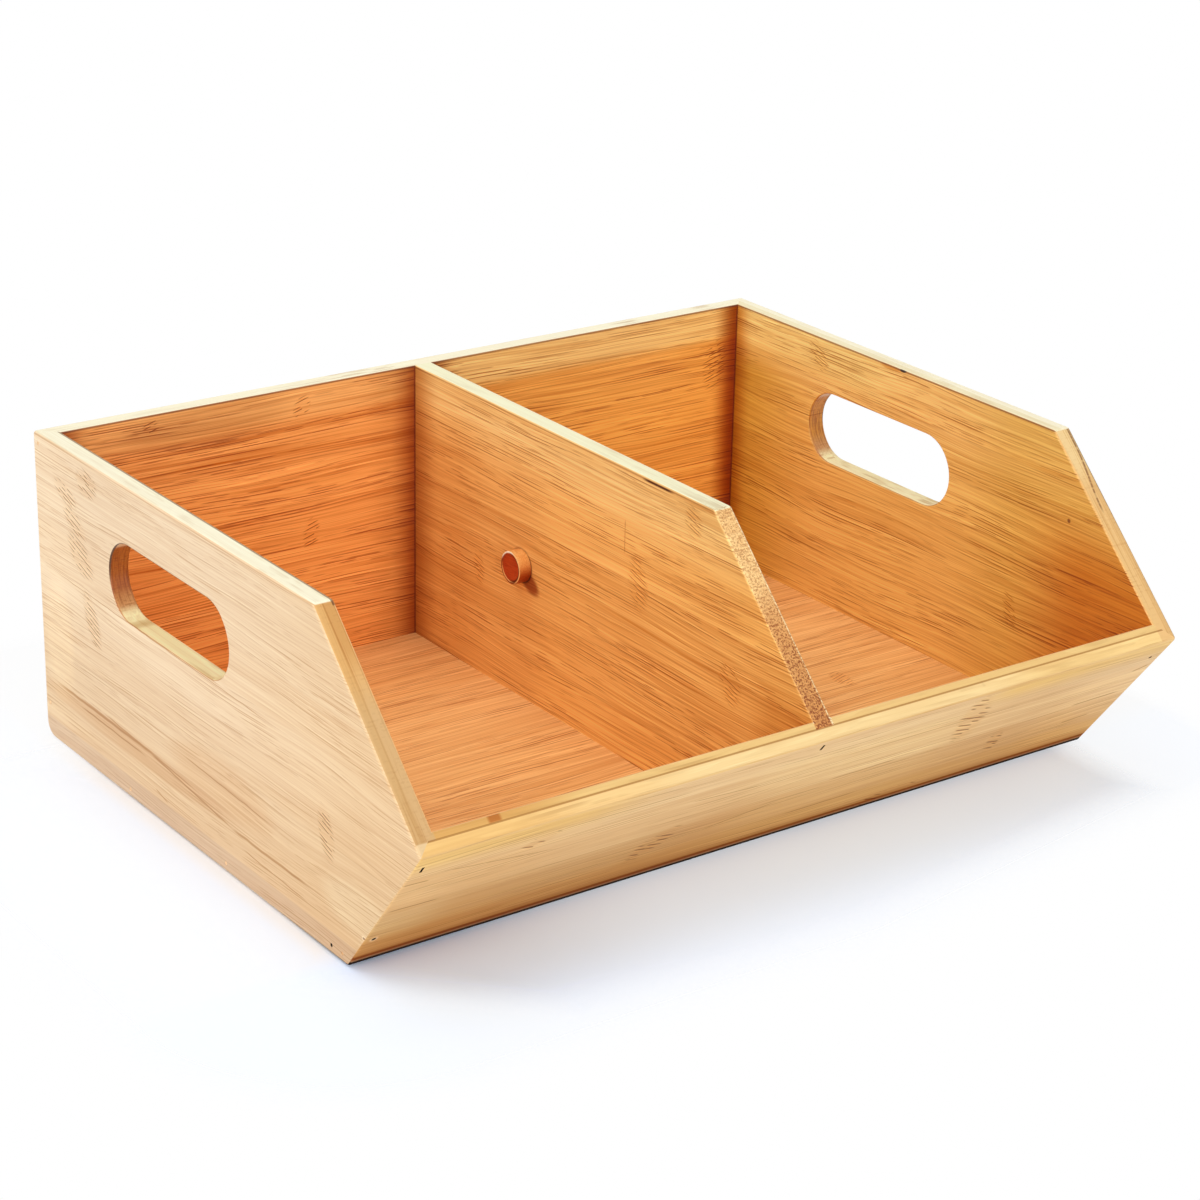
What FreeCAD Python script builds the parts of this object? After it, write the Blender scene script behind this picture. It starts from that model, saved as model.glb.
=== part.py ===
import FreeCAD, Part
import math
import os

# Two-compartment open-front pantry bin made of bamboo board, in millimetres.
# X runs across the width, Y from the front to the back, and Z up.
# The origin is the middle of the footprint on the underside, and the front faces -Y.

# Outer sizes
overall_width = 380.0
overall_depth = 305.5
overall_height = 140.5
nose_height = 67.0  # underside to the foremost edge
top_edge_depth = 232.0  # back face to the bend where the end panels start to slope
base_depth = 254.0  # back face to the front edge of the footprint

# Thickness of each board
end_board = 9.0
back_board = 9.0
lip_board = 9.0
floor_board = 9.0
divider_board = 9.0

# Rounded corners of the side outline and eased edges
heel_radius = 7.0
back_top_radius = 1.6
bend_radius = 3.0
nose_radius = 1.5
toe_radius = 1.2
outer_arris_radius = 1.3
rim_arris_radius = 0.9

# Hand holes through the end panels
hand_hole_length = 100.0
hand_hole_height = 34.0
hand_hole_centre_height = 98.0
hand_hole_setback = 117.0  # back face to the middle of the hole
hand_hole_arris_radius = 0.8

# Housing that takes the front end of the divider
divider_offset = 0.0
divider_housing_depth = 3.6

# Turned knob on the left face of the divider
knob_diameter = 15.0
knob_stand = 6.0
knob_rim_width = 0.9
knob_dish_depth = 0.5
knob_edge_radius = 0.5
knob_tenon_diameter = 6.0
knob_tenon_length = 5.5
knob_height = 72.0
knob_setback = 96.5

# T-head brads
t_brad_length = 25.0
t_brad_head_length = 4.0
t_brad_head_width = 1.2
t_brad_head_thickness = 0.7
t_brad_shank_width = 1.5
t_brad_shank_thickness = 1.1
t_brad_point_length = 2.2

# Round-head pin brads
pin_length = 22.0
pin_head_diameter = 1.6
pin_head_thickness = 0.6
pin_shank_diameter = 1.2
pin_point_length = 1.8

# Depth of the brad heads under the wood, and where each brad stands
brad_set_depth = 0.4
lip_left_brad_inset = 4.5
lip_left_upper_drop = 10.3
lip_left_lower_drop = 65.0
lip_right_brad_inset = 7.0
lip_right_brad_drop = 12.5
lip_divider_brad_drop = 5.8
lip_divider_brad_shift = -1.2
side_brad_height = 3.8
mitre_brad_setback = 250.6
first_floor_brad_setback = 242.6
floor_brad_pitch = 82.0
floor_brad_count = 3
back_corner_brad_inset = 4.6
back_corner_upper_drop = 4.6
back_corner_lower_height = 16.0
back_divider_upper_drop = 24.0
back_divider_lower_height = 42.0
back_floor_brad_height = 5.5
back_floor_brad_pitch = 110.0
back_floor_brad_count = 3

# Every cut runs past the wood by this much
overrun = 20.0

# Lengths that agree to within this share of the width are equal
equal_length_share = 1e-6
# The rounded bend stands off the flat edges by less than this share of its radius
bend_surface_share = 0.25

# Places worked out from the sizes
half_width = overall_width / 2
back_y = overall_depth / 2
bend_y = back_y - top_edge_depth
toe_y = back_y - base_depth

# The outline's sharp corner stands in front of the rounded nose by nose_shortfall
slope_angle = math.atan2(overall_height - nose_height, bend_y + back_y)
lean_angle = math.atan2(nose_height, toe_y + back_y)
nose_half_angle = (slope_angle + lean_angle) / 2
nose_tilt = (slope_angle - lean_angle) / 2
nose_shortfall = nose_radius * (math.cos(nose_tilt) / math.sin(nose_half_angle) - 1)
nose_y = -back_y - nose_shortfall

inner_half_width = half_width - end_board
back_inner_y = back_y - back_board
housing_depth_left = lip_board - divider_housing_depth

lean_run = toe_y - nose_y
lean_length = math.hypot(lean_run, nose_height)
lip_down = FreeCAD.Vector(0, lean_run / lean_length, -nose_height / lean_length)
lip_inward = FreeCAD.Vector(0, nose_height / lean_length, lean_run / lean_length)
nose_point = FreeCAD.Vector(0, nose_y, nose_height)


def on_lip(x, drop, depth):
    """Point on the lip: drop is measured down the front face and depth into the board."""
    return FreeCAD.Vector(x, 0, 0) + nose_point + lip_down * drop + lip_inward * depth


def lip_line_y(depth, height):
    """Y of the line parallel to the lip's front face, depth inside it, at a height."""
    return toe_y + (depth - lean_run / lean_length * height) * lean_length / nose_height


def rounded_wire(corners):
    """Closed wire in the YZ plane through corners of (y, z, radius)."""
    starts = []
    ends = []
    arcs = []
    for index, (y, z, radius) in enumerate(corners):
        corner = FreeCAD.Vector(0, y, z)
        before = corners[index - 1]
        after = corners[(index + 1) % len(corners)]
        to_before = (FreeCAD.Vector(0, before[0], before[1]) - corner).normalize()
        to_after = (FreeCAD.Vector(0, after[0], after[1]) - corner).normalize()
        half_angle = to_before.getAngle(to_after) / 2
        reach = radius / math.tan(half_angle)
        start = corner + to_before * reach
        end = corner + to_after * reach
        starts.append(start)
        ends.append(end)
        if radius > 0:
            bisector = (to_before + to_after).normalize()
            middle = corner + bisector * (radius / math.sin(half_angle) - radius)
            arcs.append(Part.Arc(start, middle, end).toShape())
        else:
            arcs.append(None)
    edges = []
    for index, arc in enumerate(arcs):
        if arc is not None:
            edges.append(arc)
        edges.append(Part.makeLine(ends[index], starts[(index + 1) % len(corners)]))
    return Part.Wire(edges)


def side_prism(corners, left_x, right_x):
    """Solid with a YZ outline, from left_x to right_x."""
    prism = Part.Face(rounded_wire(corners)).extrude(FreeCAD.Vector(right_x - left_x, 0, 0))
    prism.translate(FreeCAD.Vector(left_x, 0, 0))
    return prism


def outer_prism():
    """The bin's whole side outline, as wide as the bin."""
    corners = [
        (back_y, 0, heel_radius),
        (back_y, overall_height, back_top_radius),
        (bend_y, overall_height, bend_radius),
        (nose_y, nose_height, nose_radius),
        (toe_y, 0, toe_radius),
    ]
    return side_prism(corners, -half_width, half_width)


def inner_prism(left_x, right_x, front_depth, floor_z, top_z):
    """Space between the back panel and a plane front_depth behind the lip's front face."""
    corners = [
        (back_inner_y, floor_z, 0),
        (back_inner_y, top_z, 0),
        (lip_line_y(front_depth, top_z), top_z, 0),
        (lip_line_y(front_depth, floor_z), floor_z, 0),
    ]
    return side_prism(corners, left_x, right_x)


def hand_hole_cutter(side):
    """Bar with the hand hole's outline, through one end panel, side being -1 at the left."""
    radius = hand_hole_height / 2
    centre_y = back_y - hand_hole_setback
    half_straight = hand_hole_length / 2 - radius
    length = end_board + 2 * overrun
    left_x = side * (inner_half_width + end_board / 2) - length / 2
    corners = [
        (centre_y - half_straight, hand_hole_centre_height - radius, 0),
        (centre_y + half_straight, hand_hole_centre_height - radius, 0),
        (centre_y + half_straight, hand_hole_centre_height + radius, 0),
        (centre_y - half_straight, hand_hole_centre_height + radius, 0),
    ]
    bar = side_prism(corners, left_x, left_x + length)
    for end_y in (centre_y - half_straight, centre_y + half_straight):
        start = FreeCAD.Vector(left_x, end_y, hand_hole_centre_height)
        bar = bar.fuse(Part.makeCylinder(radius, length, start, FreeCAD.Vector(1, 0, 0)))
    return bar.removeSplitter()


def near(value, target):
    """True where two lengths agree to within the modelling tolerance of the box."""
    return abs(value - target) < overall_width * equal_length_share


def slope_height(y):
    """Height of the sloped front edges of the boards at y."""
    return nose_height + (y - nose_y) * (overall_height - nose_height) / (bend_y - nose_y)


def edge_middle(edge):
    return edge.valueAt((edge.FirstParameter + edge.LastParameter) / 2)


def is_on_top_surface(point):
    """True on the flat top edges and on the sloped front edges."""
    if near(point.z, overall_height):
        return True
    return point.z > nose_height and point.y < bend_y + bend_radius and (
        abs(point.z - slope_height(point.y)) < bend_radius * bend_surface_share)


def outer_edges(shape):
    """Edges round the outline of both outer side faces."""
    found = []
    for edge in shape.Edges:
        if all(near(abs(v.X), half_width) for v in edge.Vertexes):
            if near(abs(edge_middle(edge).x), half_width):
                found.append(edge)
    return found


def rim_edges(shape):
    """Edges round the mouths of the two compartments."""
    inner_x = [
        -inner_half_width,
        divider_offset - divider_board / 2,
        divider_offset + divider_board / 2,
        inner_half_width,
    ]
    found = []
    for edge in shape.Edges:
        middle = edge_middle(edge)
        if not is_on_top_surface(middle):
            continue
        along_side = any(all(near(v.X, x) for v in edge.Vertexes) for x in inner_x)
        along_back = all(near(v.Y, back_inner_y) for v in edge.Vertexes)
        lip_depths = [(v.Point - nose_point).dot(lip_inward) for v in edge.Vertexes]
        along_lip = all(near(depth, lip_board) for depth in lip_depths)
        if along_side or along_back or along_lip:
            found.append(edge)
    return found


def hand_hole_edges(shape):
    """Edges of the hand holes on the four faces of the end panels."""
    hole = hand_hole_cutter(1).BoundBox
    found = []
    for edge in shape.Edges:
        on_face = any(all(near(abs(v.X), x) for v in edge.Vertexes) for x in (inner_half_width, half_width))
        middle = edge_middle(edge)
        within_y = abs(middle.y - hole.Center.y) < hole.YLength / 2 + hand_hole_arris_radius
        within_z = abs(middle.z - hole.Center.z) < hole.ZLength / 2 + hand_hole_arris_radius
        if on_face and within_y and within_z:
            found.append(edge)
    return found


def whole_box():
    """All the walls in one solid with their eased edges, before the joints divide it."""
    body = outer_prism()
    sides = [
        (-inner_half_width, divider_offset - divider_board / 2),
        (divider_offset + divider_board / 2, inner_half_width),
    ]
    for left_x, right_x in sides:
        body = body.cut(inner_prism(left_x, right_x, lip_board, -overrun, overall_height + overrun))
    body = body.makeFillet(outer_arris_radius, outer_edges(body))
    body = body.makeFillet(rim_arris_radius, rim_edges(body))
    body = body.cut([hand_hole_cutter(-1), hand_hole_cutter(1)])
    return body.makeFillet(hand_hole_arris_radius, hand_hole_edges(body))


def lip_zone():
    """Space of the front lip, ending in the planes of its two mitres."""
    spread = overrun * end_board / lip_board
    top = -overall_height
    corners = [
        on_lip(-half_width - spread, top, -overrun),
        on_lip(half_width + spread, top, -overrun),
        on_lip(inner_half_width, top, lip_board),
        on_lip(-inner_half_width, top, lip_board),
    ]
    face = Part.Face(Part.makePolygon(corners + corners[:1]))
    return face.extrude(lip_down * (lean_length + 2 * overall_height))


def back_zone():
    """Space of the back panel, ending in the planes of its two mitres."""
    spread = overrun * end_board / back_board
    corners = [
        FreeCAD.Vector(-half_width - spread, back_y + overrun, -overrun),
        FreeCAD.Vector(half_width + spread, back_y + overrun, -overrun),
        FreeCAD.Vector(inner_half_width, back_inner_y, -overrun),
        FreeCAD.Vector(-inner_half_width, back_inner_y, -overrun),
    ]
    face = Part.Face(Part.makePolygon(corners + corners[:1]))
    return face.extrude(FreeCAD.Vector(0, 0, overall_height + 2 * overrun))


def end_zone(side):
    """Space of one end panel, side being -1 at the left and 1 at the right."""
    width = end_board + overrun
    left_x = min(side * inner_half_width, side * (inner_half_width + width))
    start = FreeCAD.Vector(left_x, nose_y - overrun, -overrun)
    return Part.makeBox(width, overall_depth + 2 * overrun, overall_height + 2 * overrun, start)


def divider_zone():
    """Space of the divider, from the floor up and from its housing in the lip to the back panel."""
    left_x = divider_offset - divider_board / 2
    right_x = left_x + divider_board
    return inner_prism(left_x, right_x, housing_depth_left, floor_board, overall_height + overrun)


def floor_panel():
    """Floor board between the walls, bevelled in front to meet the leaning lip."""
    return inner_prism(-inner_half_width, inner_half_width, lip_board, 0, floor_board)


def knob():
    """Turned knob with a dished face and a tenon, facing -X, its flat back on the plane x = 0."""
    half_knob = knob_diameter / 2
    body = Part.makeCylinder(half_knob, knob_stand)
    rim = [edge for edge in body.Edges if all(near(v.Z, knob_stand) for v in edge.Vertexes)]
    body = body.makeFillet(knob_edge_radius, rim)
    dish_start = FreeCAD.Vector(0, 0, knob_stand - knob_dish_depth)
    body = body.cut(Part.makeCylinder(half_knob - knob_rim_width, overrun, dish_start))
    tenon_start = FreeCAD.Vector(0, 0, -knob_tenon_length)
    tenon = Part.makeCylinder(knob_tenon_diameter / 2, knob_tenon_length, tenon_start)
    return body.fuse(tenon)


def t_brad():
    """T-head brad with the top of its head on the plane z = 0, its shank down and its head along X."""
    head = Part.makeBox(t_brad_head_length, t_brad_head_width, t_brad_head_thickness)
    head.translate(FreeCAD.Vector(-t_brad_head_length / 2, -t_brad_head_width / 2, -t_brad_head_thickness))
    half_shank = t_brad_shank_width / 2
    shoulder_z = t_brad_point_length - t_brad_length
    outline = [
        FreeCAD.Vector(-half_shank, 0, -t_brad_head_thickness),
        FreeCAD.Vector(half_shank, 0, -t_brad_head_thickness),
        FreeCAD.Vector(half_shank, 0, shoulder_z),
        FreeCAD.Vector(0, 0, -t_brad_length),
        FreeCAD.Vector(-half_shank, 0, shoulder_z),
    ]
    face = Part.Face(Part.makePolygon(outline + outline[:1]))
    shank = face.extrude(FreeCAD.Vector(0, t_brad_shank_thickness, 0))
    shank.translate(FreeCAD.Vector(0, -t_brad_shank_thickness / 2, 0))
    return head.fuse(shank)


def t_brad_pocket():
    """Space over a T head that lies under the surface, open to the outside."""
    start = FreeCAD.Vector(-t_brad_head_length / 2, -t_brad_head_width / 2, 0)
    return Part.makeBox(t_brad_head_length, t_brad_head_width, overrun, start)


def pin_brad():
    """Round pin with the top of its head on the plane z = 0 and its shank down."""
    head_radius = pin_head_diameter / 2
    shank_radius = pin_shank_diameter / 2
    shoulder_z = pin_point_length - pin_length
    outline = [
        FreeCAD.Vector(0, 0, 0),
        FreeCAD.Vector(head_radius, 0, 0),
        FreeCAD.Vector(head_radius, 0, -pin_head_thickness),
        FreeCAD.Vector(shank_radius, 0, -pin_head_thickness),
        FreeCAD.Vector(shank_radius, 0, shoulder_z),
        FreeCAD.Vector(0, 0, -pin_length),
    ]
    face = Part.Face(Part.makePolygon(outline + outline[:1]))
    return face.revolve(FreeCAD.Vector(0, 0, 0), FreeCAD.Vector(0, 0, 1), 360)


def pin_pocket():
    """Space over a pin head that lies under the surface, open to the outside."""
    return Part.makeCylinder(pin_head_diameter / 2, overrun)


def placed(shape, point, inward, along):
    """Copy of a shape whose origin goes to a point, its -Z to inward and its X to along."""
    up = inward * -1
    across = up.cross(along)
    matrix = FreeCAD.Matrix(
        along.x, across.x, up.x, point.x,
        along.y, across.y, up.y, point.y,
        along.z, across.z, up.z, point.z,
        0, 0, 0, 1,
    )
    copy = shape.copy()
    copy.Placement = FreeCAD.Placement(matrix)
    return copy


def driven(fastener, pocket, surface_points, inward, along):
    """Fasteners set under the surface at some points, and the cutters for their holes."""
    fasteners = []
    cutters = []
    for surface_point in surface_points:
        point = surface_point + inward * brad_set_depth
        fasteners.append(placed(fastener, point, inward, along))
        cutters.append(fasteners[-1])
        cutters.append(placed(pocket, point, inward, along))
    return fasteners, cutters


def all_brads():
    """Every group of brads as node name: (fasteners, hole cutters)."""
    up = FreeCAD.Vector(0, 0, 1)
    to_front = FreeCAD.Vector(0, -1, 0)
    left_x = -half_width + lip_left_brad_inset
    right_x = half_width - lip_right_brad_inset
    divider_brad_x = divider_offset + lip_divider_brad_shift
    t_set = (t_brad(), t_brad_pocket())
    pin_set = (pin_brad(), pin_pocket())
    lip_brads = [
        ("lip_left_t_brad", t_set, on_lip(left_x, lip_left_upper_drop, 0)),
        ("lip_left_pin_brad", pin_set, on_lip(left_x, lip_left_lower_drop, 0)),
        ("lip_right_pin_brad", pin_set, on_lip(right_x, lip_right_brad_drop, 0)),
        ("lip_divider_t_brad", t_set, on_lip(divider_brad_x, lip_divider_brad_drop, 0)),
    ]
    groups = {}
    for name, brad_set, point in lip_brads:
        groups[name] = driven(*brad_set, [point], lip_inward, lip_down)
    for name, side in (("left", -1), ("right", 1)):
        inward = FreeCAD.Vector(-side, 0, 0)
        face_x = side * half_width
        mitre_points = [FreeCAD.Vector(face_x, back_y - mitre_brad_setback, side_brad_height)]
        first_y = back_y - first_floor_brad_setback
        floor_points = [
            FreeCAD.Vector(face_x, first_y + index * floor_brad_pitch, side_brad_height)
            for index in range(floor_brad_count)
        ]
        back_points = [
            FreeCAD.Vector(face_x, back_y - back_corner_brad_inset, height)
            for height in (back_corner_lower_height, overall_height - back_corner_upper_drop)
        ]
        groups[name + "_mitre_pin_brad"] = driven(*pin_set, mitre_points, inward, up)
        groups[name + "_floor_pin_brads"] = driven(*pin_set, floor_points, inward, up)
        groups[name + "_back_pin_brads"] = driven(*pin_set, back_points, inward, up)
    divider_heights = (back_divider_lower_height, overall_height - back_divider_upper_drop)
    divider_points = [FreeCAD.Vector(divider_offset, back_y, height) for height in divider_heights]
    groups["back_divider_t_brads"] = driven(*t_set, divider_points, to_front, up)
    first_x = -back_floor_brad_pitch * (back_floor_brad_count - 1) / 2
    floor_points = [
        FreeCAD.Vector(first_x + index * back_floor_brad_pitch, back_y, back_floor_brad_height)
        for index in range(back_floor_brad_count)
    ]
    groups["back_floor_pin_brads"] = driven(*pin_set, floor_points, to_front, up)
    return groups


def boards():
    """The six boards, divided at their joints, before any hole is made for a fastener."""
    box = whole_box()
    divider = box.common(divider_zone())
    return {
        "left_end_panel": box.common(end_zone(-1)).cut(lip_zone()).cut(back_zone()),
        "right_end_panel": box.common(end_zone(1)).cut(lip_zone()).cut(back_zone()),
        "back_panel": box.common(back_zone()),
        "front_lip": box.common(lip_zone()).cut(divider),
        "floor_panel": floor_panel(),
        "divider": divider,
    }


def build():
    """Every node of the bin."""
    nodes = boards()
    to_right = FreeCAD.Vector(1, 0, 0)
    up = FreeCAD.Vector(0, 0, 1)
    knob_seat = FreeCAD.Vector(divider_offset - divider_board / 2, back_y - knob_setback, knob_height)
    nodes["divider_knob"] = placed(knob(), knob_seat, to_right, up)
    nodes["divider"] = nodes["divider"].cut(nodes["divider_knob"])
    groups = all_brads()
    cutters = Part.makeCompound([cutter for group in groups.values() for cutter in group[1]])
    for name in list(nodes):
        if name != "divider_knob":
            nodes[name] = nodes[name].cut(cutters)
    for name, (fasteners, _) in groups.items():
        nodes[name] = Part.makeCompound(fasteners)
    return nodes


def main():
    os.makedirs("parts", exist_ok=True)
    for name, shape in build().items():
        solids = shape.Solids
        if not shape.isValid():
            raise ValueError(name + " isn't a valid shape")
        kept = solids[0] if len(solids) == 1 else Part.makeCompound(solids)
        kept.exportStep("parts/" + name + ".step")
        print(name, len(solids), "solids", round(kept.Volume, 1), "mm3")


main()
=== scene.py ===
import math
from functools import cached_property, reduce

import bpy
from mathutils import Matrix, Vector

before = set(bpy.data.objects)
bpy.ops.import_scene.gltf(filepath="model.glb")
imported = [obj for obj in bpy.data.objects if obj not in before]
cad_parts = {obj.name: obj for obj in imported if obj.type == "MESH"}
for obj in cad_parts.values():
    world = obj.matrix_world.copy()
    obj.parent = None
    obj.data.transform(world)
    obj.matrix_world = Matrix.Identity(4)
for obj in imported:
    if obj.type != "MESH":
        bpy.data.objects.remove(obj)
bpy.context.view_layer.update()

scene = bpy.context.scene
scene.view_settings.view_transform = "Standard"

MM_PER_M = 1000.0

# Sizes of the bin that the looks follow, in millimetres, in the frame of the model
HALF_WIDTH = 190.0
BOARD = 9.0
INNER_X = HALF_WIDTH - BOARD
BACK_Y = 152.75
INNER_BACK_Y = BACK_Y - BOARD
TOP_Z = 140.5
NOSE = Vector((0.0, -153.25, 67.0))
LIP_DOWN = Vector((0.0, 52.0, -67.0)).normalized()
LIP_INWARD = Vector((0.0, 67.0, 52.0)).normalized()
SLOPE_OUT = Vector((0.0, -73.5, 74.0)).normalized()
LIP_DEPTH = 84.8
INNER_PLY = 3.6
HOLE = Vector((0.0, 35.75, 98.0))
HOLE_HALF_LENGTH = 50.0
HOLE_HALF_HEIGHT = 17.0
KNOB = Vector((-10.5, 56.25, 72.0))
KNOB_DISC = 6.4
FOOT_MIDDLE = 25.75
FOOT_HALF_DEPTH = 127.0

# Heads of the brads, along and across their boards, and half sizes of the small holes over them
PIN_HALF = (0.8, 0.8)
T_HEAD_HALF = (0.6, 2.0)
PANEL_BARE_PIN = (-89.85, 3.8)
PANEL_FILLED_PINS = ((74.15, 3.8), (-7.85, 3.8), (148.15, 16.0), (148.15, 135.9))
LIP_LEFT_PIN = (-185.5, 65.0)
LIP_RIGHT_PIN = (183.0, 12.5)
LIP_T_HEADS = ((-185.5, 10.3), (-1.2, 5.8))
FILLER_SPOT = (-113.5, 17.1)

# How strongly each part of the grain shows
STRIP_TONE = 0.16
STREAK_TONE = 0.42
FIBRE_TONE = 1.05
LIGHT_TONE = 0.17
DARK_LINES = 1.0
HAIR_LINES = 0.75
WARM_TONE = (0.6, 1.05, 1.55)
SEAM_DARKNESS = 0.35
HUE_SHARE = 0.7
KNOT_SHARE = 0.5
KNOT_GLOW = 0.12
KNOT_SLANT = -0.3

# Tints, as factors on the linear colour
HUE_TINT = (1.0, 0.94, 0.84, 1.0)
KNOT_TINT = (0.95, 0.88, 0.78, 1.0)
OUTER_STROKES = (0.38, 0.23, 0.07, 1.0)
PALE_LINES = (0.66, 0.49, 0.33, 1.0)
INNER_LINES = (0.50, 0.30, 0.16, 1.0)

# Colours, in 0 to 255
OUTER = (245, 215, 176)
CREAM = (254, 246, 214)
CREAM_FAR = (254, 244, 210)
UNDERSIDE = (226, 190, 150)
PAINTED_HOLE_SHADE = (26, 14, 9)
FILLED_HOLE = (252, 228, 194)

# Span at the top edges of the end panels
AT_TOP = ("z", TOP_Z - 2.0, TOP_Z - 1.5)


def linear(red, green, blue):
    """A colour written in 0 to 255, as linear values."""
    out = []
    for value in (red, green, blue):
        value = value / 255
        out.append(value / 12.92 if value <= 0.04045 else ((value + 0.055) / 1.055) ** 2.4)
    return (*out, 1.0)


class Graph:
    """Short ways to add nodes to one node tree."""

    def __init__(self, tree):
        self.tree = tree

    def node(self, kind, inputs=(), **properties):
        made = self.tree.nodes.new(kind)
        for name, value in properties.items():
            setattr(made, name, value)
        for key, value in dict(inputs).items():
            self.feed(made.inputs[key], value)
        return made

    def feed(self, socket, value):
        if isinstance(value, bpy.types.NodeSocket):
            self.tree.links.new(value, socket)
        elif value is not None:
            socket.default_value = value

    def math(self, operation, a, b=None, c=None):
        return self.node("ShaderNodeMath", {0: a, 1: b, 2: c}, operation=operation).outputs[0]

    def add(self, *values):
        return reduce(lambda a, b: self.math("ADD", a, b), values)

    def sub(self, a, b):
        return self.math("SUBTRACT", a, b)

    def mul(self, *values):
        return reduce(lambda a, b: self.math("MULTIPLY", a, b), values)

    def mul_add(self, a, b, c):
        return self.math("MULTIPLY_ADD", a, b, c)

    def div(self, a, b):
        return self.math("DIVIDE", a, b)

    def most(self, *values):
        return reduce(lambda a, b: self.math("MAXIMUM", a, b), values)

    def size(self, value):
        return self.math("ABSOLUTE", value)

    def away(self, value, middle):
        """How far a value is from the middle, either way."""
        return self.size(self.sub(value, middle))

    def near(self, value, middle, reach, core):
        """1 within core of the middle, and 0 from reach on."""
        return self.step(self.away(value, middle), reach, core)

    def length(self, a, b):
        return self.math("SQRT", self.add(self.mul(a, a), self.mul(b, b)))

    def vector(self, x, y, z):
        return self.node("ShaderNodeCombineXYZ", {0: x, 1: y, 2: z}).outputs[0]

    def parts(self, vector):
        return self.node("ShaderNodeSeparateXYZ", {0: vector}).outputs

    def noise(self, vector, detail=1.0, rough=0.5):
        made = self.node(
            "ShaderNodeTexNoise", {"Vector": vector, "Scale": 1.0, "Detail": detail, "Roughness": rough},
            noise_dimensions="3D")
        return made.outputs["Fac"]

    def white(self, value):
        return self.node("ShaderNodeTexWhiteNoise", {"W": value}, noise_dimensions="1D").outputs["Value"]

    def step(self, value, low, high, out_low=0.0, out_high=1.0):
        """Smooth step from out_low at low to out_high at high."""
        made = self.node(
            "ShaderNodeMapRange", {0: value, 1: low, 2: high, 3: out_low, 4: out_high},
            interpolation_type="SMOOTHSTEP", clamp=True)
        return made.outputs[0]

    def mix(self, factor, a, b, blend="MIX"):
        made = self.node("ShaderNodeMix", data_type="RGBA", blend_type=blend, clamp_factor=True)
        self.feed(made.inputs[0], factor)
        self.feed(made.inputs[6], a)
        self.feed(made.inputs[7], b)
        return made.outputs[2]

    def scale(self, colour, factor):
        return self.node("ShaderNodeVectorMath", {0: colour, "Scale": factor}, operation="SCALE").outputs[0]

    def dot(self, a, b):
        return self.node("ShaderNodeVectorMath", {0: a, 1: b}, operation="DOT_PRODUCT").outputs["Value"]

    def group(self, tree, inputs):
        made = self.tree.nodes.new("ShaderNodeGroup")
        made.node_tree = tree
        for name, value in inputs.items():
            self.feed(made.inputs[name], value)
        return made.outputs


def new_group(name, inputs, outputs):
    """Empty node group with float sockets, its graph, its input sockets by name and its output node."""
    tree = bpy.data.node_groups.new(name, "ShaderNodeTree")
    for socket in inputs:
        tree.interface.new_socket(name=socket, in_out="INPUT", socket_type="NodeSocketFloat")
    for socket in outputs:
        tree.interface.new_socket(name=socket, in_out="OUTPUT", socket_type="NodeSocketFloat")
    graph = Graph(tree)
    entry = tree.nodes.new("NodeGroupInput")
    leave = tree.nodes.new("NodeGroupOutput")
    return tree, graph, {socket: entry.outputs[socket] for socket in inputs}, leave


def new_material(name):
    """Material with its graph, and the place in millimetres and the normal on its object."""
    material = bpy.data.materials.new(name)
    material.use_nodes = True
    graph = Graph(material.node_tree)
    texture = graph.node("ShaderNodeTexCoord")
    return material, graph, graph.scale(texture.outputs["Object"], MM_PER_M), texture.outputs["Normal"]


def set_shader(material, colour, roughness, height, relief, reach, specular=0.5):
    """Feeds the shader of a material, with the relief of a height that reaches this many metres."""
    graph = Graph(material.node_tree)
    shader = material.node_tree.nodes["Principled BSDF"]
    bump = graph.node("ShaderNodeBump", {"Strength": relief, "Distance": reach, "Height": height})
    for name, value in (
            ("Base Color", colour), ("Roughness", roughness), ("Specular IOR Level", specular),
            ("Normal", bump.outputs[0])):
        graph.feed(shader.inputs[name], value)


# In the groups of the wood, factors on rows, strips and seeds such as 1.37 or 7.7 only set them apart in the noise
def build_fibres():
    """Thin lines along the fibres, one in each row, each there over parts of its length, with a light one beside."""
    tree, graph, given, leave = new_group(
        "fibres", ("along", "across", "deep", "pitch", "length", "half", "low", "high", "offset"), ("line", "glow"))
    pitch, half, offset = given["pitch"], given["half"], given["offset"]
    cell = graph.add(graph.div(given["across"], pitch), offset)
    row = graph.math("FLOOR", cell)
    off_row = graph.mul_add(graph.white(graph.mul_add(row, 1.37, offset)), 0.5, -0.75)
    from_line = graph.mul(graph.add(graph.sub(cell, row), off_row), pitch)
    layer = graph.math("FLOOR", graph.div(given["deep"], pitch))
    there = graph.noise(graph.vector(
        graph.div(given["along"], given["length"]), graph.mul_add(row, 7.7, offset), graph.mul(layer, 3.1)))
    there = graph.step(there, given["low"], given["high"])
    inner = graph.mul(half, 0.3)
    beside = graph.away(from_line, graph.mul(half, 1.8))
    graph.feed(leave.inputs["line"], graph.mul(there, graph.step(graph.size(from_line), half, inner)))
    graph.feed(leave.inputs["glow"], graph.mul(there, graph.step(beside, half, inner)))
    return tree


FIBRES = build_fibres()


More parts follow.
